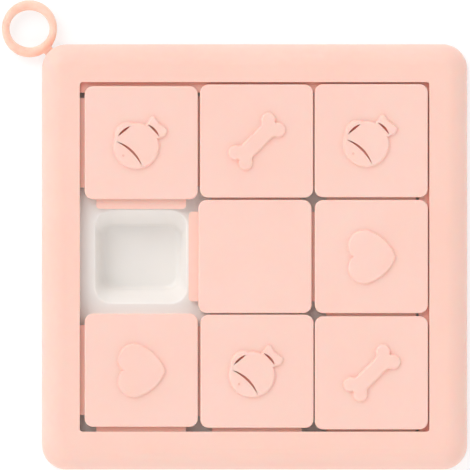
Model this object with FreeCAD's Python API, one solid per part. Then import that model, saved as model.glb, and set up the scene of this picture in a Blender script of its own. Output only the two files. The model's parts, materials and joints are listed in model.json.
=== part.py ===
import FreeCAD, Part
import math
import os

# A dog's sliding-tile treat puzzle, lying flat as it is used. Millimetres, +Z up, +Y away
# from the player. The origin is the middle of the square case, on the surface it stands on.

# The board: three rows and three columns of loose square tiles, with one cell left empty.
tile_side = 63.8
row_slack = 5.6
window_corner_radius = 1.6
well_pitch = 64.2

# The case in plan.
bezel_width = 21.5
case_corner_radius = 14.0
shoulder_radius = 12.0
case_wall = 2.4
window_edge_round = 0.3

# Heights, from the surface the case stands on up to its top face.
foot_proud = 0.8
cover_thick = 2.0
tray_thick = 1.8
well_depth = 16.3
slide_air = 0.1
base_thick = 1.8
groove_height = 3.6
cap_thick = 3.5

# The tongues that hook each tile under its neighbours, and the grooves they run in.
tongue_reach = 5.5
tongue_play = 0.4
tongue_end_inset = 6.6
tongue_corner_radius = 2.2
groove_depth = 6.6
frame_tongue_reach = 6.0
base_inset = 0.6

# The rest of a tile: the edge and the roof of its cap, and the hollow inside its three plates.
cap_corner_radius = 4.8
cap_edge_round = 0.7
cap_roof = 2.0
tile_rim = 3.0
drain_hole_radius = 3.0

# The raised figures on the caps.
figure_height = 1.5
figure_round = 1.2
figure_foot_round = 0.6
figure_shift = 0.25
heart_length = 26.5
heart_width = 30.2
heart_notch = 2.5
heart_side_radius = 24.0
heart_tip_radius = 3.6
bone_half_length = 13.05
bone_half_spread = 4.0
bone_lobe_radius = 4.1
bone_shaft_width = 9.1
bone_end_fill = 1.9
bone_hollow_radius = 3.0
bone_turn = 45.0
fish_radius = 12.9
fish_offset_x = -2.8
fish_offset_y = -2.0
fin_radius = 7.4
fin_reach = 15.0
tail_corner_radius = 1.6
engraved_width = 1.3
engraved_depth = 2.6
eye_radius = 0.6
eye_depth = 0.3

# The wells of the treat tray.
well_mouth = 51.0
well_mouth_radius = 8.5
well_floor_x = 47.3
well_floor_y = 36.5
well_floor_radius = 7.0
well_lip_round = 0.9
tray_seat = 1.2

# The bottom cover, its screws and its feet.
cover_gap = 0.3
screw_from_middle = 60.0
boss_radius = 4.0
screw_radius = 1.4
screw_play = 0.05
screw_length = 12.0
screw_head_radius = 2.8
screw_head_height = 1.9
head_play = 0.4
cup_roof = 1.6
cross_length = 3.6
cross_width = 0.7
cross_depth = 1.1
foot_radius = 9.0
foot_sunk = 1.0
foot_play = 0.2
foot_from_middle = 94.0
rib_height = 1.2
rib_width = 1.6

# The soft hanging loop and the bar that holds it in the corner of the case.
loop_outer_x = 31.4
loop_outer_y = 32.4
loop_hole_x = 22.4
loop_hole_y = 20.8
loop_thick = 4.0
loop_round = 1.4
loop_gap = 1.2
loop_aside = 1.2
loop_height = 5.5
neck_width = 5.6
neck_thick = 3.0
bar_radius = 1.9
bar_length = 12.0
bar_setback = 4.6
bar_play = 0.05
bar_end_play = 0.2
neck_play = 0.5
neck_rest_gap = 0.1
neck_swing_room = 1.7
block_wall = 1.8

# Sizes that follow from the ones above.
window_side = 3 * tile_side + row_slack
window_half = window_side / 2
cell_pitch = window_side / 3
cell_slack = cell_pitch - tile_side
case_side = window_side + 2 * bezel_width
case_half = case_side / 2
cover_top = foot_proud + cover_thick
deck_z = cover_top + tray_thick + well_depth
base_z = deck_z + slide_air
groove_z = base_z + base_thick
cap_z = groove_z + groove_height
case_top = cap_z + cap_thick
tongue_z = groove_z + tongue_play
tongue_thick = groove_height - 2 * tongue_play
tile_half = tile_side / 2
base_half = tile_half - base_inset
core_back = tile_half - groove_depth
hollow_low = tile_rim - base_half
hollow_high = core_back - tile_rim
wall_back = window_half + groove_depth
tray_half = wall_back + tray_seat
screw_line = (wall_back + case_wall + case_half - case_wall) / 2
cup_floor = foot_proud + screw_head_height + head_play
cup_top = cup_floor + cup_roof
hole_radius = screw_radius + screw_play
socket_radius = bar_radius + bar_play
half_bar = bar_length / 2 + bar_end_play
half_neck = neck_width / 2 + neck_play

# Where each loose tile has slid to: its column and row, counted from the middle cell, then how
# far it leans from the middle of its cell, as shares of the slack in one cell, and its figure.
tiles = {
    "tile_top_left": (-1, 1, 0.95, -0.68, "fish"),
    "tile_top_middle": (0, 1, 0.6, -0.18, "bone"),
    "tile_top_right": (1, 1, 0.03, -0.08, "fish"),
    "tile_centre": (0, 0, 0.11, 0.13, "plain"),
    "tile_middle_right": (1, 0, 0.08, 0.11, "heart"),
    "tile_bottom_left": (-1, -1, 0.95, 0.96, "heart"),
    "tile_bottom_middle": (0, -1, 0.72, 0.67, "fish"),
    "tile_bottom_right": (1, -1, 0.08, 0.19, "bone"),
}


def vec(x, y, z=0.0):
    return FreeCAD.Vector(x, y, z)


def box(x0, x1, y0, y1, z0, z1):
    return Part.makeBox(x1 - x0, y1 - y0, z1 - z0, vec(x0, y0, z0))


def disc(radius, x, y, z0, z1):
    return Part.makeCylinder(radius, z1 - z0, vec(x, y, z0))


def join(shapes):
    return shapes[0].multiFuse(shapes[1:]).removeSplitter()


def round_rect_wire(x0, x1, y0, y1, radius, z):
    """An outline with four straight sides and four quarter arcs."""
    k = radius * (1 - math.sqrt(0.5))
    corners = [
        (vec(x1 - radius, y0, z), vec(x1 - k, y0 + k, z), vec(x1, y0 + radius, z)),
        (vec(x1, y1 - radius, z), vec(x1 - k, y1 - k, z), vec(x1 - radius, y1, z)),
        (vec(x0 + radius, y1, z), vec(x0 + k, y1 - k, z), vec(x0, y1 - radius, z)),
        (vec(x0, y0 + radius, z), vec(x0 + k, y0 + k, z), vec(x0 + radius, y0, z)),
    ]
    edges = []
    for i, (start, middle, end) in enumerate(corners):
        edges.append(Part.Arc(start, middle, end).toShape())
        edges.append(Part.makeLine(end, corners[(i + 1) % 4][0]))
    return Part.Wire(edges)


def round_rect(x0, x1, y0, y1, radius, z0, z1):
    """An upright prism with rounded corners in plan."""
    face = Part.Face(round_rect_wire(x0, x1, y0, y1, radius, z0))
    return face.extrude(vec(0, 0, z1 - z0))


def round_square(half, radius, z0, z1):
    return round_rect(-half, half, -half, half, radius, z0, z1)


def flat_edges(shape, z):
    """The edges of a shape that lie wholly at one height."""
    return [e for e in shape.Edges if max(abs(e.BoundBox.ZMin - z), abs(e.BoundBox.ZMax - z)) < 1e-4]


def near_middle(edges, limit):
    """The edges whose own middle is nearer to the board's middle than a limit, along X and Y."""
    return [e for e in edges if max(abs(e.CenterOfMass.x), abs(e.CenterOfMass.y)) < limit]


def at_loop_corner(shape):
    """Turns a shape made along +X so that it points out of the top left corner of the case."""
    reach = case_half - case_corner_radius * (1 - math.sqrt(0.5))
    shape.rotate(vec(0, 0), vec(0, 0, 1), 135)
    shape.translate(vec(-reach, reach))
    return shape


def case_block(side_half, radius, shoulder, z0, z1):
    """A square block whose top edge is rolled over into a broad shoulder."""
    block = round_square(side_half, radius, z0, z1)
    return block.makeFillet(shoulder, flat_edges(block, z1))


def board_walls():
    """The walls and the lip round the board, with the two tongues along the top and right."""
    back = wall_back + case_wall
    front = window_half + case_wall
    roof = case_top - case_wall
    ring = box(-back, front, -back, front, deck_z, roof)
    ring = ring.cut(box(-wall_back, window_half, -wall_back, window_half, deck_z, cap_z))
    ring = ring.cut(round_square(window_half, window_corner_radius, deck_z, roof))
    root = window_half + case_wall / 2
    tip = window_half - frame_tongue_reach
    top_of_tongue = tongue_z + tongue_thick
    right = box(tip, root, -window_half, root, tongue_z, top_of_tongue)
    upper = box(-window_half, root, tip, root, tongue_z, top_of_tongue)
    return join([ring, right, upper])


def screw_places():
    for side in (-1, 1):
        for along in (-screw_from_middle, screw_from_middle):
            yield side * screw_line, along
            yield along, side * screw_line


def bar_socket():
    """The round pocket for the loop's bar, along its own axis behind the corner of the case."""
    start = vec(-bar_setback, -half_bar, loop_height)
    return at_loop_corner(Part.makeCylinder(socket_radius, 2 * half_bar, start, vec(0, 1, 0)))


def neck_slot():
    bottom = loop_height - neck_thick / 2 - neck_rest_gap
    top = loop_height + neck_thick / 2 + neck_swing_room
    slot = box(-bar_setback, case_corner_radius, -half_neck, half_neck, bottom, top)
    return at_loop_corner(slot)


def bar_block(z0, z1):
    """One half of the block that holds the loop's bar, as wide as the bar and its end walls."""
    back = bar_setback + socket_radius + block_wall
    half = half_bar + block_wall
    return at_loop_corner(box(-back, -case_wall / 2, -half, half, z0, z1))


def make_outer_frame():
    outer = case_block(case_half, case_corner_radius, shoulder_radius, foot_proud, case_top)
    inner_half = case_half - case_wall
    inner_radius = case_corner_radius - case_wall
    inner_shoulder = shoulder_radius - case_wall
    inner_top = case_top - case_wall
    hollow = case_block(inner_half, inner_radius, inner_shoulder, foot_proud - 1, inner_top)
    window = round_square(window_half, window_corner_radius, foot_proud, case_top + 1)
    shell = outer.cut(hollow).cut(window)
    window_edges = near_middle(flat_edges(shell, case_top), window_half + 1e-3)
    shell = shell.makeFillet(window_edge_round, window_edges)
    columns = [disc(boss_radius, x, y, cup_top, case_top).common(outer) for x, y in screw_places()]
    block = bar_block(loop_height, loop_height + socket_radius + block_wall).common(outer)
    frame = join([shell, board_walls(), block] + columns)
    pilot_top = cup_floor + screw_length + 1
    for x, y in screw_places():
        frame = frame.cut(disc(hole_radius, x, y, cup_top - 1, pilot_top))
    return frame.cut(bar_socket()).cut(neck_slot())


def well_loft(grow, z_mouth, z_floor):
    """A well's shape between its mouth and its floor, with the wall added when grow is set."""
    half = well_mouth / 2 + grow
    mouth = round_rect_wire(-half, half, -half, half, well_mouth_radius + grow, z_mouth)
    half_x = well_floor_x / 2 + grow
    half_y = well_floor_y / 2 + grow
    floor = round_rect_wire(-half_x, half_x, -half_y, half_y, well_floor_radius + grow, z_floor)
    return Part.makeLoft([floor, mouth], True, True)


def well_places():
    for row in (-1, 0, 1):
        for column in (-1, 0, 1):
            yield column * well_pitch, row * well_pitch


def make_treat_tray():
    deck = round_square(tray_half, window_corner_radius, deck_z - tray_thick, deck_z)
    outside = well_loft(tray_thick, deck_z, cover_top)
    inside = well_loft(0, deck_z, cover_top + tray_thick)
    cups = []
    for x, y in well_places():
        cup = outside.copy()
        cup.translate(vec(x, y))
        cups.append(cup)
    tray = join([deck] + cups)
    for x, y in well_places():
        hollow = inside.copy()
        hollow.translate(vec(x, y))
        tray = tray.cut(hollow)
    lips = near_middle(flat_edges(tray, deck_z), tray_half - tray_seat)
    return tray.makeFillet(well_lip_round, lips)


def foot_places():
    yield 0.0, 0.0
    for x in (-foot_from_middle, foot_from_middle):
        for y in (-foot_from_middle, foot_from_middle):
            yield x, y


def make_bottom_cover():
    half = case_half - case_wall - cover_gap
    plate = round_square(half, case_corner_radius - case_wall - cover_gap, foot_proud, cover_top)
    cups = [disc(boss_radius + cover_gap, x, y, foot_proud, cup_top) for x, y in screw_places()]
    rib_half = 1.5 * well_pitch
    between = well_pitch / 2
    ribs = []
    for place in (-between, between):
        low, high = place - rib_width / 2, place + rib_width / 2
        ribs.append(box(low, high, -rib_half, rib_half, foot_proud, cover_top + rib_height))
        ribs.append(box(-rib_half, rib_half, low, high, foot_proud, cover_top + rib_height))
    saddle = bar_block(foot_proud, loop_height - cover_gap)
    inner = round_square(half, case_corner_radius - case_wall - cover_gap, foot_proud, case_top)
    cover = join([plate, saddle.common(inner)] + cups + ribs)
    for x, y in screw_places():
        cover = cover.cut(disc(screw_head_radius + head_play, x, y, foot_proud, cup_floor))
        cover = cover.cut(disc(screw_radius + head_play, x, y, foot_proud, cup_top))
    for x, y in foot_places():
        cover = cover.cut(disc(foot_radius + foot_play, x, y, foot_proud, foot_proud + foot_sunk))
    return cover.cut(bar_socket()).cut(neck_slot())


def make_cover_screws():
    """Eight pan-head screws, one separate solid each, driven up from below."""
    head_z = cup_floor - screw_head_height
    half_cross = cross_length / 2
    thin = cross_width / 2
    screws = []
    for x, y in screw_places():
        head = disc(screw_head_radius, x, y, head_z, cup_floor)
        shank = disc(screw_radius, x, y, head_z, cup_floor + screw_length)
        cross = box(x - half_cross, x + half_cross, y - thin, y + thin, head_z, head_z + cross_depth)
        bar = box(x - thin, x + thin, y - half_cross, y + half_cross, head_z, head_z + cross_depth)
        screws.append(join([head, shank]).cut(cross).cut(bar))
    return Part.makeCompound(screws)


def make_foot_pads():
    top = foot_proud + foot_sunk
    return Part.makeCompound([disc(foot_radius, x, y, 0, top) for x, y in foot_places()])


def oval(size_x, size_y, z0, z1):
    """An upright oval block round the origin, longer along X or along Y."""
    half_x, half_y = size_x / 2, size_y / 2
    long_way, short_way = vec(half_x, 0, z0), vec(0, half_y, z0)
    if half_y > half_x:
        long_way, short_way = vec(0, half_y, z0), vec(-half_x, 0, z0)
    edge = Part.Ellipse(long_way, short_way, vec(0, 0, z0)).toShape()
    return Part.Face(Part.Wire([edge])).extrude(vec(0, 0, z1 - z0))


def loop_middle():
    """The middle of the loop: outside the corner, and a little to one side of its diagonal."""
    along = case_corner_radius + loop_gap + (loop_outer_x + loop_outer_y) / 4
    corner = case_half - case_corner_radius
    s = math.sqrt(0.5)
    return -corner - along * s + loop_aside * s, corner + along * s + loop_aside * s


def make_hang_loop():
    z0, z1 = loop_height - loop_thick / 2, loop_height + loop_thick / 2
    band = oval(loop_outer_x, loop_outer_y, z0, z1).cut(oval(loop_hole_x, loop_hole_y, z0, z1))
    band = band.makeFillet(loop_round, flat_edges(band, z0) + flat_edges(band, z1))
    x, y = loop_middle()
    band.translate(vec(x, y))
    into_band = loop_gap + (loop_outer_y - loop_hole_x) / 4
    half = neck_width / 2
    low, high = loop_height - neck_thick / 2, loop_height + neck_thick / 2
    neck = box(-bar_setback, into_band, -half, half, low, high)
    start = vec(-bar_setback, -bar_length / 2, loop_height)
    bar = Part.makeCylinder(bar_radius, bar_length, start, vec(0, 1, 0))
    return join([band, at_loop_corner(neck), at_loop_corner(bar)])


def tile_middle(name):
    column, row, lean_x, lean_y, _ = tiles[name]
    return column * cell_pitch + lean_x * cell_slack, row * cell_pitch + lean_y * cell_slack


def tile_hollow(z0, z1):
    """The space inside a tile, between the rims of its plates."""
    return round_rect(hollow_low, hollow_high, hollow_low, hollow_high, tongue_corner_radius, z0, z1)


def make_base():
    """The bottom plate of a tile, with a small hole that lets washing water out."""
    middle = (hollow_low + hollow_high) / 2
    plate = round_square(base_half, cap_corner_radius, base_z, groove_z)
    return plate.cut(disc(drain_hole_radius, middle, middle, base_z, groove_z))


def make_tongue_plate():
    """The middle plate of a tile: it reaches out on the left and near sides as two tongues, and
    stands back on the other two, where it leaves the grooves for the neighbours' tongues."""
    core = round_rect(-base_half, core_back, -base_half, core_back, tongue_corner_radius, groove_z, cap_z)
    tip = tile_half + tongue_reach
    half = tile_half - tongue_end_inset
    top_of_tongue = tongue_z + tongue_thick
    left = round_rect(-tip, 0, -half, half, tongue_corner_radius, tongue_z, top_of_tongue)
    near = round_rect(-half, half, -tip, 0, tongue_corner_radius, tongue_z, top_of_tongue)
    return join([core, left, near]).cut(tile_hollow(groove_z, cap_z))


def heart_lobe():
    """The middle and the radius of the upper lobe: full width outside, and the notch between."""
    half = heart_width / 2
    both = half + heart_notch
    radius = both - math.sqrt(both * both - half * half - heart_notch * heart_notch)
    return vec(radius - heart_length / 2, half - radius), radius


def middle_of_side(lobe, lobe_radius, tip):
    """The middle of the big circle that touches the lobe and the tip from outside both."""
    to_lobe = heart_side_radius - lobe_radius
    to_tip = heart_side_radius - heart_tip_radius
    gap = tip - lobe
    along = (to_lobe ** 2 - to_tip ** 2 + gap.Length ** 2) / (2 * gap.Length)
    across = math.sqrt(to_lobe ** 2 - along ** 2)
    ahead = vec(gap.x, gap.y).normalize()
    return lobe + ahead * along + vec(ahead.y, -ahead.x) * across


def outward(middle, target, radius):
    """The point of a circle that lies beyond a target inside it."""
    return middle + (target - middle).normalize() * radius


def heart_outline(z):
    """A heart whose tip points to +X: two lobes, two swelling sides and a blunt tip."""
    lobe, lobe_radius = heart_lobe()
    tip = vec(heart_length / 2 - heart_tip_radius, 0)
    middle = middle_of_side(lobe, lobe_radius, tip)
    on_lobe = outward(middle, lobe, heart_side_radius)
    on_tip = outward(middle, tip, heart_side_radius)
    on_side = outward(middle, (on_lobe + on_tip) / 2, heart_side_radius)
    back = lobe + vec(-math.sqrt(0.75), 0.5) * lobe_radius
    notch = vec(heart_notch - heart_length / 2, 0)
    end = vec(heart_length / 2, 0)
    half = [(notch, back, on_lobe), (on_lobe, on_side, on_tip)]
    mirrored = [tuple(vec(p.x, -p.y) for p in reversed(arc)) for arc in reversed(half)]
    arcs = half + [(on_tip, end, vec(on_tip.x, -on_tip.y))] + mirrored
    wire = Part.Wire([Part.Arc(*arc).toShape() for arc in arcs])
    wire.translate(vec(0, 0, z))
    return wire


def upright_edges(shape, low, high):
    """The edges that stand straight up between two heights."""
    upright = [e for e in shape.Edges if max(e.BoundBox.XLength, e.BoundBox.YLength) < 1e-4]
    return [e for e in upright if max(abs(e.BoundBox.ZMin - low), abs(e.BoundBox.ZMax - high)) < 1e-4]


def raised(figure):
    """Rounds the top edge of a figure that stands on a cap."""
    return figure.makeFillet(figure_round, flat_edges(figure, case_top + figure_height))


def make_heart():
    base = case_top - figure_height
    heart = raised(Part.Face(heart_outline(base)).extrude(vec(0, 0, 2 * figure_height)))
    heart.translate(vec(figure_shift, -figure_shift))
    return heart


def make_bone():
    low, high = case_top - figure_height, case_top + figure_height
    half = bone_shaft_width / 2
    end = bone_half_length + bone_end_fill
    shapes = [
        box(-bone_half_length, bone_half_length, -half, half, low, high),
        box(-end, end, -bone_half_spread / 2, bone_half_spread / 2, low, high),
    ]
    for x in (-bone_half_length, bone_half_length):
        for y in (-bone_half_spread, bone_half_spread):
            shapes.append(disc(bone_lobe_radius, x, y, low, high))
    bone = join(shapes)
    beside_shaft = [e for e in upright_edges(bone, low, high) if abs(e.CenterOfMass.x) < bone_half_length]
    bone = raised(bone.makeFillet(bone_hollow_radius, beside_shaft))
    bone.rotate(vec(0, 0), vec(0, 0, 1), bone_turn)
    bone.translate(vec(figure_shift, -figure_shift))
    return bone


def on_fish(angle, radius):
    """A point round the middle of the fish's body, by its angle in degrees and its distance."""
    turn = math.radians(angle)
    return vec(fish_offset_x + radius * math.cos(turn), fish_offset_y + radius * math.sin(turn))


def make_fish():
    """A round body, with a rounded fin on the upper left and a forked tail on the upper right."""
    low, high = case_top - figure_height, case_top + figure_height
    r = fish_radius
    body = disc(r, fish_offset_x, fish_offset_y, low, high)
    fin_middle = on_fish(128, fin_reach - fin_radius)
    fin = disc(fin_radius, fin_middle.x, fin_middle.y, low, high)
    corners = [(70, 0.8), (64, 1.2), (62, 1.58), (45, 1.4), (27, 1.56), (19.5, 1.36), (18, 0.8)]
    outline = [on_fish(angle, share * r) + vec(0, 0, low) for angle, share in corners]
    tail = Part.Face(Part.makePolygon(outline + outline[:1])).extrude(vec(0, 0, high - low))
    tips = [e for e in upright_edges(tail, low, high) if (e.CenterOfMass - body.CenterOfMass).Length > r]
    tail = tail.makeFillet(tail_corner_radius, tips)
    return raised(join([body, fin, tail]))


def crescent(start, middle, end):
    """A narrow groove, widest at its middle and pointed at both ends."""
    chord = end - start
    inward = vec(-chord.y, chord.x).normalize()
    outer = Part.Arc(start, middle, end)
    inner = Part.Arc(end, middle - inward * engraved_width, start)
    face = Part.Face(Part.Wire([outer.toShape(), inner.toShape()]))
    face.translate(vec(0, 0, case_top + figure_height - engraved_depth))
    return face.extrude(vec(0, 0, engraved_depth + 1))


def fish_grooves():
    """The grooves that set off the fin, the tail and the head behind its gill."""
    r = fish_radius
    return [
        crescent(on_fish(152, 0.9 * r), on_fish(129, 0.92 * r), on_fish(106, 0.91 * r)),
        crescent(on_fish(62, 1.07 * r), on_fish(43, 1.12 * r), on_fish(23, 1.08 * r)),
        crescent(on_fish(167, 0.89 * r), on_fish(224, 0.24 * r), on_fish(286, 0.9 * r)),
    ]


def with_soft_foot(cap):
    """Fills the corner between a raised figure and the cap that it stands on."""
    foot = near_middle(flat_edges(cap, case_top), tile_half - cap_edge_round - 1)
    return cap.makeFillet(figure_foot_round, foot)


figures = {"heart": make_heart, "bone": make_bone, "fish": make_fish}


def make_cap(figure):
    cap = round_square(tile_half, cap_corner_radius, cap_z, case_top)
    cap = cap.makeFillet(cap_edge_round, flat_edges(cap, case_top))
    if figure in figures:
        cap = with_soft_foot(join([cap, figures[figure]()]))
    if figure == "fish":
        eye = on_fish(216, 0.7 * fish_radius)
        eye_low = case_top + figure_height - eye_depth
        cap = cap.cut(disc(eye_radius, eye.x, eye.y, eye_low, eye_low + 1))
    cap = cap.cut(tile_hollow(cap_z, case_top - cap_roof))
    if figure == "fish":
        for groove in fish_grooves():
            cap = cap.cut(groove)
    return cap


def save(name, shape):
    print(name, "solids", len(shape.Solids), "valid", shape.isValid(), "volume", round(shape.Volume))
    shape.exportStep("parts/" + name + ".step")


def main():
    os.makedirs("parts", exist_ok=True)
    save("outer_frame", make_outer_frame())
    save("treat_tray", make_treat_tray())
    save("bottom_cover", make_bottom_cover())
    save("cover_screws", make_cover_screws())
    save("foot_pads", make_foot_pads())
    save("hang_loop", make_hang_loop())
    for name in tiles:
        x, y = tile_middle(name)
        cap = make_cap(tiles[name][-1])
        plates = {"base": make_base(), "tongue_plate": make_tongue_plate(), "cap": cap}
        for plate, shape in plates.items():
            shape.translate(vec(x, y))
            save(name + "_" + plate, shape)


main()
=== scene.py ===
# %% [markdown]
# # A dog's sliding-tile treat puzzle
#
# The toy is a square case of pink plastic with a white tray of nine wells inside. Eight loose
# tiles slide on the tray and cover the treats, and one cell is left empty so that they can move.
# The hard parts arrive already modelled and are never moved here. This lesson gives them their
# finish, replaces the small soft parts with finer meshes, and lights the toy for a catalogue view.

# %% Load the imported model
import json
import math

import bmesh
import bpy
from mathutils import Matrix, Vector


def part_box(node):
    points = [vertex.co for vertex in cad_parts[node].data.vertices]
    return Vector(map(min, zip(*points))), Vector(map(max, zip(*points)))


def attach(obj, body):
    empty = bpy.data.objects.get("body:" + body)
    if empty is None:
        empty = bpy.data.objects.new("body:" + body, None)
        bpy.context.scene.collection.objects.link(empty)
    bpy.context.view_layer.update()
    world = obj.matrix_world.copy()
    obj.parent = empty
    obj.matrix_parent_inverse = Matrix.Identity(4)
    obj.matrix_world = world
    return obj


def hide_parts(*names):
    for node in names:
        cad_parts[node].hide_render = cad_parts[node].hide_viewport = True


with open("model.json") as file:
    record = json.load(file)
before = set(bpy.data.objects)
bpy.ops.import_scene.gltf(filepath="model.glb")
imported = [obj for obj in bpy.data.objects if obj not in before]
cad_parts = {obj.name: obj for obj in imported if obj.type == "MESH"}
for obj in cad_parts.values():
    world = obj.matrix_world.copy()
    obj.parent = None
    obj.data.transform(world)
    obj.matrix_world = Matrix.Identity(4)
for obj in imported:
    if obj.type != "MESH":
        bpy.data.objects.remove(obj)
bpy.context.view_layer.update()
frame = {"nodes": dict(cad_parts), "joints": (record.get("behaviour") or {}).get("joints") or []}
MM = 0.001
nodes = frame["nodes"]

# %% [markdown]
# ## Camera
#
# The photograph looks straight down on the toy, and no side of the case shows, so the lens is
# long and far away. A perspective camera with a long lens gives nearly the parallel view of an
# orthographic one, and it can still be moved back for other views. The width of the view at the
# height of the tiles, and the point it is aimed at, are read off the photograph.

# %% Camera
FRAME_PIXELS = 470
CASE_PIXELS = 425.9
AIM_X, AIM_Y = -11.05 * MM, 12.35 * MM
CAMERA_HEIGHT = 9.0

case_low, case_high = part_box("outer_frame")
case_side = case_high.x - case_low.x
case_top = case_high.z
view_width = case_side * FRAME_PIXELS / CASE_PIXELS

camera_data = bpy.data.cameras.new("catalogue_camera")
camera_data.sensor_width = 36
camera_data.lens = camera_data.sensor_width * CAMERA_HEIGHT / view_width
camera_data.clip_end = 60
camera = bpy.data.objects.new("catalogue_camera", camera_data)
camera.location = (AIM_X, AIM_Y, case_top + CAMERA_HEIGHT)
bpy.context.scene.collection.objects.link(camera)
bpy.context.scene.camera = camera
bpy.context.scene.view_settings.view_transform = "Standard"
print("lens", round(camera_data.lens, 1), "view width in mm", round(view_width / MM, 1))

# %% [markdown]
# ## Helpers for materials
#
# A material is a small graph of nodes. Each helper below adds a node, fills in its sockets and
# joins it up, so that a recipe reads as a few lines from the pattern to the shader. Every pattern
# is placed by Object coordinates, which are metres here, so its grain has a real size and stays
# on the piece when the piece moves.

# %% Node helpers
def add_node(material, kind, settings=None, **inputs):
    """Adds one node. A socket name is written with _ for a space; a socket value joins the two."""
    node = material.node_tree.nodes.new(kind)
    for name, value in (settings or {}).items():
        setattr(node, name, value)
    for name, value in inputs.items():
        socket = node.inputs[name.replace("_", " ")]
        if isinstance(value, bpy.types.NodeSocket):
            material.node_tree.links.new(value, socket)
        else:
            socket.default_value = value
    return node


def new_material(name):
    """A material with only its output left in it."""
    material = bpy.data.materials.new(name)
    material.use_nodes = True
    material.node_tree.nodes.clear()
    material.node_tree.nodes.new("ShaderNodeOutputMaterial")
    return material


def shade(material, shader):
    """Joins a shader to the material's output."""
    output = material.node_tree.nodes["Material Output"]
    material.node_tree.links.new(shader, output.inputs["Surface"])
    return material


def noise(material, scale, detail=2.0, roughness=0.5):
    """A soft pattern on Object coordinates, from 0 to 1, with its blobs about 1/scale metres wide."""
    place = add_node(material, "ShaderNodeTexCoord")
    pattern = add_node(
        material, "ShaderNodeTexNoise",
        Vector=place.outputs["Object"], Scale=scale, Detail=detail, Roughness=roughness,
    )
    return pattern.outputs["Fac"]


def spread(material, value, low, high):
    """Stretches the middle of a noise pattern, where nearly all of it lies, over a range."""
    ranged = add_node(
        material, "ShaderNodeMapRange", Value=value, From_Min=0.3, From_Max=0.7, To_Min=low, To_Max=high
    )
    return ranged.outputs["Result"]


def blend_colours(material, factor, first, second):
    """A colour between two colours."""
    mix = add_node(material, "ShaderNodeMix", {"data_type": "RGBA"})
    for socket, value in ((mix.inputs[0], factor), (mix.inputs[6], first), (mix.inputs[7], second)):
        if isinstance(value, bpy.types.NodeSocket):
            material.node_tree.links.new(value, socket)
        elif isinstance(value, tuple):
            socket.default_value = (*value, 1)
        else:
            socket.default_value = value
    return mix.outputs[2]


def bump(material, height, distance, strength=1.0):
    """Tilts the surface by a height pattern. The distance is the real depth of the pattern."""
    node = add_node(
        material, "ShaderNodeBump", Height=height, Distance=distance, Strength=strength
    )
    return node.outputs["Normal"]


print("helpers ready")

# %% [markdown]
# ## Helper for pieces
#
# A piece is built in a bmesh, the mesh editor's own store, and then handed over: it gets its
# material, rides on the body that carries it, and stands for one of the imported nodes.

# %% Piece helper
def finish_piece(name, mesh, material, body, replaces):
    """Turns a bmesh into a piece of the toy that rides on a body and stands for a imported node."""
    data = bpy.data.meshes.new(name)
    mesh.to_mesh(data)
    mesh.free()
    data.materials.append(material)
    for face in data.polygons:
        face.use_smooth = True
    piece = bpy.data.objects.new(name, data)
    bpy.context.scene.collection.objects.link(piece)
    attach(piece, body)
    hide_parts(replaces)
    print(name, "faces", len(data.polygons))
    return piece

# %% [markdown]
# ## Moulded plastic
#
# All the pink parts are the same kind of plastic, injected into a steel mould with a fine satin
# finish. Three things keep it from looking like paint: the tone drifts a little over a few
# centimetres, the shine varies where hands and noses rub it, and the mould's grain breaks the
# highlights up. The light goes a short way into the plastic, which keeps shaded edges warm.
#
# In tight corners, such as the foot of a raised figure, the colour is painted a little deeper to
# stand for the shade that falls there, and deeper still in the engraved lines of the fish. An
# Ambient Occlusion node finds these places. It looks only at the piece itself, so the painted
# shade belongs to the tile and goes along when the tile slides.

# %% Plastic recipe
# Painted shade: deeper tones put into corners and grooves, where shade falls on the plastic.
PAINTED_CREASE_SHADE = (0.88, 0.45, 0.37)
PAINTED_GROOVE_SHADE = (0.90, 0.40, 0.30)
SHADE_PAINT_REACH = 3.5 * MM
SATIN = (0.34, 0.46)
MOULD_GRAIN = 0.012 * MM
LIGHT_DEPTH = 1.2 * MM


def painted_shade_amount(material, openness, fully, barely):
    """How much painted shade goes on: 1 where the surface is as closed in as the first number says, and
    0 from the second on.
    """
    ranged = add_node(
        material, "ShaderNodeMapRange", Value=openness,
        From_Min=fully, From_Max=barely, To_Min=1, To_Max=0,
    )
    return ranged.outputs["Result"]


def moulded_plastic(name, tone, drift):
    """Satin plastic whose colour varies between tone and drift, with painted shade in its corners and
    grooves.
    """
    material = new_material(name)
    cloud = noise(material, scale=22, detail=3)
    colour = blend_colours(material, spread(material, cloud, 0, 1), tone, drift)
    corners = add_node(
        material, "ShaderNodeAmbientOcclusion", {"samples": 8, "only_local": True},
        Distance=SHADE_PAINT_REACH,
    )
    openness = corners.outputs["AO"]
    # Painted shade: corners that the Ambient Occlusion node finds closed in are coloured deeper, and
    # grooves deeper still.
    colour = blend_colours(material, painted_shade_amount(material, openness, 0.5, 0.98), colour, PAINTED_CREASE_SHADE)
    colour = blend_colours(material, painted_shade_amount(material, openness, 0.1, 0.45), colour, PAINTED_GROOVE_SHADE)
    rub = spread(material, noise(material, scale=70, detail=4), *SATIN)
    fine = noise(material, scale=2600, detail=3, roughness=0.6)
    plastic = add_node(
        material, "ShaderNodeBsdfPrincipled",
        Base_Color=colour, Roughness=rub, Normal=bump(material, fine, MOULD_GRAIN),
        Specular_IOR_Level=0.35, Subsurface_Weight=0.6,
        Subsurface_Scale=LIGHT_DEPTH, Subsurface_Radius=(1.0, 0.4, 0.28),
    )
    return shade(material, plastic.outputs["BSDF"])


def dress(node, material):
    """Gives a hard part its finish in place of the plain one that it came with."""
    piece = nodes[node]
    piece.data.materials.clear()
    piece.data.materials.append(material)


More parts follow.
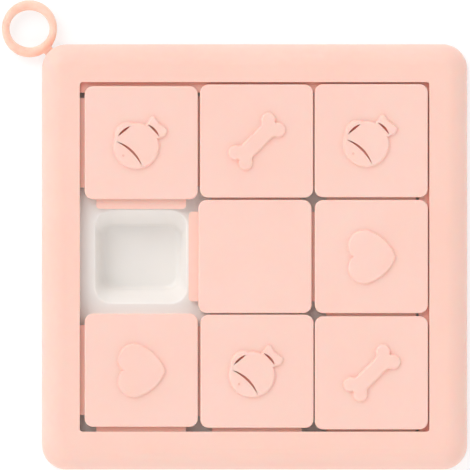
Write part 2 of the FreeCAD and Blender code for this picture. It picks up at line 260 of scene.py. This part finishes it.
# %% Pink parts
case_pink = moulded_plastic("case_pink", (0.97, 0.63, 0.545), (0.965, 0.61, 0.52))
cap_pink = moulded_plastic("cap_pink", (0.965, 0.642, 0.565), (0.96, 0.622, 0.54))
tongue_pink = moulded_plastic("tongue_pink", (0.97, 0.645, 0.56), (0.965, 0.625, 0.535))

dress("outer_frame", case_pink)
dress("bottom_cover", case_pink)
tile_names = sorted({name.rsplit("_cap", 1)[0] for name in nodes if name.endswith("_cap")})
for tile in tile_names:
    dress(tile + "_cap", cap_pink)
    dress(tile + "_tongue_plate", tongue_pink)
    dress(tile + "_base", tongue_pink)
print("tiles dressed", tile_names)

# %% [markdown]
# ## White tray
#
# The tray is one thin sheet of plastic, drawn down into nine wells. It is made the way that a
# sheet is formed: a flat deck with nine rounded mouths, each mouth pressed down step by step,
# and the whole sheet given its thickness at the end. A mouth is a square face whose four corners
# are rounded with a vertex Bevel.

# %% Tray sizes
WELL_PITCH = 64.2 * MM
WELL_DEPTH = 16.3 * MM
MOUTH_HALF = 25.5 * MM
MOUTH_RADIUS = 9.5 * MM
FLOOR_HALF_X, FLOOR_HALF_Y = 23.2 * MM, 18.6 * MM
LIP = 1.3 * MM
FLOOR_FILLET = 5.0 * MM
TUCK_X, TUCK_Y = 0.8, 0.5
ARC_TURNS = (15, 30, 45, 60, 75, 90)
SHEET = 1.8 * MM
tray_low, tray_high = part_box("treat_tray")
deck_height = tray_high.z


def well_steps():
    """The half sizes and the height of a well at each step: over its lip, down its walls, and
    round the fillet into its floor."""
    steps = []
    for turn in ARC_TURNS:
        angle = math.radians(turn)
        reach = MOUTH_HALF + LIP * (1 - math.sin(angle))
        steps.append((reach, reach, deck_height - LIP * (1 - math.cos(angle))))
    wall_end = deck_height - WELL_DEPTH + FLOOR_FILLET
    for share in (0.25, 0.5, 0.75, 1):
        height = (deck_height - LIP) * (1 - share) + wall_end * share
        reach_x = MOUTH_HALF * (1 - share) + FLOOR_HALF_X * share
        reach_y = MOUTH_HALF * (1 - share) + FLOOR_HALF_Y * share
        steps.append((reach_x, reach_y, height))
    for turn in ARC_TURNS:
        angle = math.radians(turn)
        inset = FLOOR_FILLET * (1 - math.cos(angle))
        steps.append((
            FLOOR_HALF_X - TUCK_X * inset, FLOOR_HALF_Y - TUCK_Y * inset,
            wall_end - FLOOR_FILLET * math.sin(angle),
        ))
    return steps


print("steps down a well", len(well_steps()))

# %% [markdown]
# Each step extrudes the well's face and then scales and lowers it. Scaling along X and Y by
# different shares gives the steep side walls and the gentle near and far ones that the dog's
# tongue runs along.

# %% Tray shape
def add_mouth(mesh, x, y):
    """One rounded square face at deck height."""
    made = bmesh.ops.create_grid(mesh, x_segments=1, y_segments=1, size=MOUTH_HALF + LIP)["verts"]
    bmesh.ops.translate(mesh, verts=made, vec=(x, y, deck_height))
    rounded = bmesh.ops.bevel(
        mesh, geom=made, affect="VERTICES", offset=MOUTH_RADIUS, segments=10, profile=0.5
    )
    return rounded["verts"][0].link_faces[0]


def press_well(mesh, mouth, x, y):
    """Presses a mouth down into a well and leaves a hole in the deck above it."""
    face = mouth
    half_x = half_y = MOUTH_HALF + LIP
    for step_x, step_y, height in well_steps():
        made = bmesh.ops.extrude_face_region(mesh, geom=[face])["geom"]
        bmesh.ops.delete(mesh, geom=[face], context="FACES_ONLY")
        face = next(item for item in made if isinstance(item, bmesh.types.BMFace))
        bmesh.ops.scale(
            mesh, verts=face.verts, vec=(step_x / half_x, step_y / half_y, 1),
            space=Matrix.Translation((-x, -y, 0)),
        )
        bmesh.ops.translate(mesh, verts=face.verts, vec=(0, 0, height - face.verts[0].co.z))
        half_x, half_y = step_x, step_y


def tray_mesh():
    mesh = bmesh.new()
    columns = [WELL_PITCH * step for step in (-1, 0, 1)]
    mouths = [(add_mouth(mesh, x, y), x, y) for x in columns for y in columns]
    rims = [edge for mouth, x, y in mouths for edge in mouth.edges]
    outline = bmesh.ops.create_grid(mesh, x_segments=1, y_segments=1, size=tray_high.x)["verts"]
    bmesh.ops.translate(mesh, verts=outline, vec=(0, 0, deck_height))
    border_face = outline[0].link_faces[0]
    border = list(border_face.edges)
    bmesh.ops.delete(mesh, geom=[border_face], context="FACES_ONLY")
    bmesh.ops.triangle_fill(mesh, use_beauty=True, edges=rims + border, normal=(0, 0, 1))
    for mouth, x, y in mouths:
        press_well(mesh, mouth, x, y)
    bmesh.ops.recalc_face_normals(mesh, faces=mesh.faces)
    return mesh


# %% [markdown]
# The plastic is food-safe and glossier than the pink one, so that it wipes clean. A thin coat on
# the shader gives the sharper top reflection without making the plastic itself mirror-like.

# %% Tray
def tray_plastic():
    material = new_material("tray_white")
    cloud = noise(material, scale=30, detail=3)
    colour = blend_colours(
        material, spread(material, cloud, 0, 1), (0.91, 0.885, 0.85), (0.885, 0.855, 0.82)
    )
    ripple = noise(material, scale=240, detail=2)
    plastic = add_node(
        material, "ShaderNodeBsdfPrincipled",
        Base_Color=colour, Roughness=spread(material, noise(material, scale=90), 0.30, 0.40),
        Normal=bump(material, ripple, 0.01 * MM),
        Subsurface_Weight=0.3, Subsurface_Scale=1.5 * MM, Subsurface_Radius=(1.0, 0.9, 0.8),
        Coat_Weight=0.25, Coat_Roughness=0.2,
    )
    return shade(material, plastic.outputs["BSDF"])


treat_tray = finish_piece(
    "pressed_treat_tray", tray_mesh(), tray_plastic(), "case", "treat_tray"
)
thickness = treat_tray.modifiers.new("sheet", "SOLIDIFY")
thickness.thickness = SHEET
thickness.offset = -1
even_shade = treat_tray.modifiers.new("even_shade", "WEIGHTED_NORMAL")
even_shade.keep_sharp = True

# %% [markdown]
# ## Screws
#
# Eight plated steel screws hold the bottom cover. Their heads sit in round wells in the cover and
# are turned on a lathe, so the brushing runs in rings. Steel shows almost only what it mirrors.

# %% Screw steel
def screw_steel():
    material = new_material("screw_steel")
    brushing = noise(material, scale=1400, detail=4)
    steel = add_node(
        material, "ShaderNodeBsdfPrincipled",
        Base_Color=blend_colours(
            material, spread(material, brushing, 0, 1), (0.56, 0.56, 0.58), (0.66, 0.66, 0.67)
        ),
        Metallic=1.0, Roughness=spread(material, brushing, 0.30, 0.44),
        Normal=bump(material, brushing, 0.01 * MM),
    )
    return shade(material, steel.outputs["BSDF"])


dress("cover_screws", screw_steel())

# %% [markdown]
# ## Rubber feet
#
# Each foot is a soft grey disc pressed into a pocket of the cover. Its underside has rings that
# grip the floor. A disc with rings is a shape of rotation, so one half-section is spun round.

# %% Foot pads
PAD_RINGS = 3
RING_GROOVE = 0.35 * MM
RINGED_SHARE = 0.86
RING_START, RING_SLOPE, RING_LAND = 0.35, 0.12, 0.5
pads_low, pads_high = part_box("foot_pads")
pad_height = pads_high.z - pads_low.z
pad_radius = 9 * MM
pad_reach = pads_high.x - pad_radius


def pad_section():
    """The half-section of a pad, from the middle of its underside out to the middle of its top."""
    step = pad_radius * RINGED_SHARE / PAD_RINGS
    points = [(0, RING_GROOVE)]
    for ring in range(PAD_RINGS):
        start = (ring + RING_START) * step
        land = start + RING_SLOPE * step
        points += [(start, RING_GROOVE), (land, 0), (land + RING_LAND * step, 0)]
        points += [(land + (RING_LAND + RING_SLOPE) * step, RING_GROOVE)]
    edge = 0.35 * MM
    points += [(pad_radius - 2 * edge, RING_GROOVE), (pad_radius - edge, 0.1 * MM), (pad_radius, edge)]
    points += [(pad_radius, pad_height - edge), (pad_radius - edge, pad_height), (0, pad_height)]
    return points


def spin_full(section, steps):
    """Spins a half-section in the XZ plane once round Z and closes it."""
    mesh = bmesh.new()
    verts = [mesh.verts.new((x, 0, z)) for x, z in section]
    edges = [mesh.edges.new(pair) for pair in zip(verts, verts[1:])]
    bmesh.ops.spin(
        mesh, geom=verts + edges, axis=(0, 0, 1), cent=(0, 0, 0), angle=2 * math.pi,
        steps=steps, use_merge=True,
    )
    bmesh.ops.remove_doubles(mesh, verts=mesh.verts, dist=1e-6)
    bmesh.ops.recalc_face_normals(mesh, faces=mesh.faces)
    return mesh


def pad_rubber():
    material = new_material("pad_rubber")
    dust = spread(material, noise(material, scale=300, detail=4), 0, 1)
    rubber = add_node(
        material, "ShaderNodeBsdfPrincipled",
        Base_Color=blend_colours(material, dust, (0.30, 0.28, 0.275), (0.36, 0.34, 0.33)),
        Roughness=spread(material, noise(material, scale=500), 0.62, 0.78),
        Normal=bump(material, noise(material, scale=3000), 0.02 * MM),
    )
    return shade(material, rubber.outputs["BSDF"])


pads = spin_full(pad_section(), steps=48)
one_pad = list(pads.verts) + list(pads.edges) + list(pads.faces)
for x in (-pad_reach, pad_reach):
    for y in (-pad_reach, pad_reach):
        copied = bmesh.ops.duplicate(pads, geom=one_pad)["geom"]
        moved = [item for item in copied if isinstance(item, bmesh.types.BMVert)]
        bmesh.ops.translate(pads, verts=moved, vec=(x, y, 0))
foot_pads = finish_piece("ribbed_foot_pads", pads, pad_rubber(), "case", "foot_pads")

# %% [markdown]
# ## Soft hanging loop
#
# The ring at the corner is a soft silicone that glows a little where light passes through it. Its
# band is thicker above and below than at its sides, and it flows into a neck that goes inside the
# case. Ring, neck and bar are made apart, melted together with a voxel Remesh, and smoothed, which
# gives the rounded joint of a real moulding.

# %% Loop shape
OUTER_X, OUTER_Y = 31.4 * MM, 32.4 * MM
HOLE_X, HOLE_Y = 22.4 * MM, 20.8 * MM
BAND_THICK = 4.0 * MM
loop_low, loop_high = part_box("hang_loop")
loop_z = 5.5 * MM
ring_middle = Vector((loop_low.x + OUTER_X / 2, loop_high.y - OUTER_Y / 2, loop_z))


def ring_mesh():
    """A round ring by Spin, whose points then move onto the two ovals of the real one."""
    mesh = bmesh.new()
    middle = (OUTER_X + HOLE_X) / 4
    bmesh.ops.create_circle(mesh, segments=24, radius=1)
    bmesh.ops.rotate(mesh, verts=mesh.verts, cent=(0, 0, 0), matrix=Matrix.Rotation(math.pi / 2, 3, "X"))
    bmesh.ops.scale(mesh, verts=mesh.verts, vec=(1 * MM, 1, BAND_THICK / 2))
    bmesh.ops.translate(mesh, verts=mesh.verts, vec=(middle, 0, 0))
    bmesh.ops.spin(
        mesh, geom=list(mesh.verts) + list(mesh.edges), axis=(0, 0, 1), cent=(0, 0, 0),
        angle=2 * math.pi, steps=96, use_merge=True,
    )
    for vert in mesh.verts:
        turn = math.atan2(vert.co.y, vert.co.x)
        across = (math.hypot(vert.co.x, vert.co.y) - middle) / MM
        outer = oval_radius(OUTER_X / 2, OUTER_Y / 2, turn)
        inner = oval_radius(HOLE_X / 2, HOLE_Y / 2, turn)
        radius = (outer + inner) / 2 + across * (outer - inner) / 2
        vert.co.x, vert.co.y = radius * math.cos(turn), radius * math.sin(turn)
    bmesh.ops.recalc_face_normals(mesh, faces=mesh.faces)
    bmesh.ops.translate(mesh, verts=mesh.verts, vec=ring_middle)
    return mesh


def oval_radius(half_x, half_y, turn):
    """How far an oval reaches in one direction."""
    return half_x * half_y / math.hypot(half_y * math.cos(turn), half_x * math.sin(turn))


print("ring middle in mm", [round(c / MM, 2) for c in ring_middle])

# %% [markdown]
# The neck runs from the band straight towards the corner of the case, and ends in the cross bar
# that turns in its socket. Both lie on the diagonal of the case, so they are made along X and
# then turned by 135 degrees.

# %% Neck and bar
NECK_WIDTH = 5.6 * MM
NECK_THICK = 3.0 * MM
BAR_RADIUS = 1.9 * MM
BAR_LENGTH = 12.0 * MM
diagonal = Matrix.Rotation(math.radians(135), 3, "Z")
hinge = next(joint for joint in frame["joints"] if joint["name"] == "loop_swing")
bar_middle = Vector(hinge["pos_m"])
neck_length = (ring_middle - bar_middle).length - (OUTER_X + HOLE_X) / 4


def add_neck(mesh):
    made = bmesh.ops.create_cube(mesh, size=1)["verts"]
    bmesh.ops.scale(mesh, verts=made, vec=(neck_length, NECK_WIDTH, NECK_THICK))
    bmesh.ops.translate(mesh, verts=made, vec=(neck_length / 2, 0, 0))
    bar = bmesh.ops.create_cone(
        mesh, cap_ends=True, segments=32, radius1=BAR_RADIUS, radius2=BAR_RADIUS, depth=BAR_LENGTH
    )["verts"]
    bmesh.ops.rotate(mesh, verts=bar, cent=(0, 0, 0), matrix=Matrix.Rotation(math.pi / 2, 3, "X"))
    bmesh.ops.rotate(mesh, verts=made + bar, cent=(0, 0, 0), matrix=diagonal)
    bmesh.ops.translate(mesh, verts=made + bar, vec=bar_middle)


# %% [markdown]
# Silicone is lit from inside as much as from outside: most of its colour comes from light that
# went in somewhere else. The neck is deeper in colour, as it is where the case shades it, so the
# colour is mixed along the distance from the ring's middle towards the case.

# %% Silicone
def loop_silicone():
    material = new_material("loop_silicone")
    place = add_node(material, "ShaderNodeTexCoord")
    toward_case = add_node(
        material, "ShaderNodeMapping", Vector=place.outputs["Object"], Location=-ring_middle
    )
    along = add_node(
        material, "ShaderNodeVectorMath", {"operation": "DOT_PRODUCT"},
    )
    material.node_tree.links.new(toward_case.outputs["Vector"], along.inputs[0])
    along.inputs[1].default_value = (math.sqrt(0.5), -math.sqrt(0.5), 0)
    near_neck = add_node(
        material, "ShaderNodeMapRange", Value=along.outputs["Value"],
        From_Min=11 * MM, From_Max=17 * MM, To_Min=0, To_Max=1,
    )
    cloud = spread(material, noise(material, scale=120, detail=2), 0, 1)
    band = blend_colours(material, cloud, (0.97, 0.70, 0.585), (0.965, 0.58, 0.45))
    colour = blend_colours(material, near_neck.outputs["Result"], band, (0.97, 0.56, 0.43))
    silicone = add_node(
        material, "ShaderNodeBsdfPrincipled",
        Base_Color=colour, Roughness=spread(material, noise(material, scale=260), 0.38, 0.5),
        Normal=bump(material, noise(material, scale=1800), 0.01 * MM),
        Subsurface_Weight=0.9, Subsurface_Scale=2.5 * MM, Subsurface_Radius=(1.0, 0.6, 0.5),
        Sheen_Weight=0.5, Sheen_Roughness=0.35,
    )
    return shade(material, silicone.outputs["BSDF"])


# %% Loop
loop_parts = ring_mesh()
add_neck(loop_parts)
hang_loop = finish_piece(
    "soft_hang_loop", loop_parts, loop_silicone(), "hang_loop", "hang_loop"
)
melt = hang_loop.modifiers.new("melt", "REMESH")
melt.mode = "VOXEL"
melt.voxel_size = 0.35 * MM
melt.use_smooth_shade = True
soften = hang_loop.modifiers.new("soften", "SMOOTH")
soften.factor = 0.5
soften.iterations = 6

# %% [markdown]
# ## Floor and light
#
# The catalogue background is pure white. The floor is a pale matt sheet that glows just enough,
# for the camera alone, to reach white where nothing shades it, and the toy still leaves a soft
# shadow.

# %% Floor
FLOOR_SIZE = 6.0
floor_mesh = bmesh.new()
bmesh.ops.create_grid(floor_mesh, x_segments=1, y_segments=1, size=FLOOR_SIZE / 2)
floor_data = bpy.data.meshes.new("floor")
floor_mesh.to_mesh(floor_data)
floor_mesh.free()
floor = bpy.data.objects.new("floor", floor_data)
bpy.context.scene.collection.objects.link(floor)


def seen_directly(tree_owner):
    """1 for what the camera sees, or sees mirrored or through glass, and 0 for scattered light."""
    path = add_node(tree_owner, "ShaderNodeLightPath")
    seen = path.outputs["Is Camera Ray"]
    for other in ("Is Glossy Ray", "Is Transmission Ray"):
        most = add_node(tree_owner, "ShaderNodeMath", {"operation": "MAXIMUM"})
        tree_owner.node_tree.links.new(seen, most.inputs[0])
        tree_owner.node_tree.links.new(path.outputs[other], most.inputs[1])
        seen = most.outputs[0]
    return seen


def mix_shaders(owner, factor, first, second):
    mix = owner.node_tree.nodes.new("ShaderNodeMixShader")
    for socket, value in zip(mix.inputs, (factor, first, second)):
        owner.node_tree.links.new(value, socket)
    return mix.outputs[0]


paper = new_material("floor_paper")
matt = add_node(paper, "ShaderNodeBsdfDiffuse", Color=(0.85, 0.85, 0.85, 1))
pale = add_node(paper, "ShaderNodeBsdfDiffuse", Color=(0.5, 0.5, 0.5, 1))
glow = add_node(paper, "ShaderNodeEmission", Color=(1, 1, 1, 1), Strength=0.56)
glowing = paper.node_tree.nodes.new("ShaderNodeAddShader")
paper.node_tree.links.new(pale.outputs["BSDF"], glowing.inputs[0])
paper.node_tree.links.new(glow.outputs["Emission"], glowing.inputs[1])
shade(paper, mix_shaders(paper, seen_directly(paper), matt.outputs["BSDF"], glowing.outputs[0]))
floor_data.materials.append(paper)

# %% [markdown]
# Most of the light is a wide even sky, brighter at its sides than overhead, which keeps the
# narrow gaps between the tiles dark. A softbox at the upper left gives the raised figures a lit
# rim and a soft shadow, and a weaker one in front opens up the near side. Together they light
# the toy at a level where a colour renders about as it is written.

# %% Sky and lamps
SIDE_STRENGTH, TOP_STRENGTH = 1.14, 0.40
world = bpy.data.worlds.new("studio_sky")
bpy.context.scene.world = world
world.use_nodes = True
world.node_tree.nodes.clear()
direction = add_node(world, "ShaderNodeTexCoord")
height = add_node(world, "ShaderNodeSeparateXYZ", Vector=direction.outputs["Generated"])
brightness = add_node(
    world, "ShaderNodeMapRange", {"interpolation_type": "SMOOTHSTEP"}, Value=height.outputs["Z"],
    From_Min=0.45, From_Max=0.95, To_Min=SIDE_STRENGTH, To_Max=TOP_STRENGTH,
)
sky = add_node(
    world, "ShaderNodeBackground", Color=(1, 1, 1, 1), Strength=brightness.outputs["Result"]
)
backdrop = add_node(world, "ShaderNodeBackground", Color=(1, 1, 1, 1), Strength=1.0)
world_output = world.node_tree.nodes.new("ShaderNodeOutputWorld")
world.node_tree.links.new(
    mix_shaders(world, seen_directly(world), sky.outputs[0], backdrop.outputs[0]),
    world_output.inputs["Surface"],
)


def far_lamp(name, from_direction, strength, spread_deg):
    """A lamp so far off that it lights the whole toy evenly, and as wide as a studio softbox."""
    data = bpy.data.lights.new(name, "SUN")
    data.energy = strength
    data.angle = math.radians(spread_deg)
    lamp = bpy.data.objects.new(name, data)
    lamp.rotation_euler = Vector(from_direction).to_track_quat("Z", "Y").to_euler()
    bpy.context.scene.collection.objects.link(lamp)
    return lamp


far_lamp("key_softbox", (-0.52, 0.60, 0.80), strength=1.05, spread_deg=42)
far_lamp("front_softbox", (-0.15, -0.90, 0.60), strength=0.38, spread_deg=50)
print("lamps", len(bpy.data.lights))
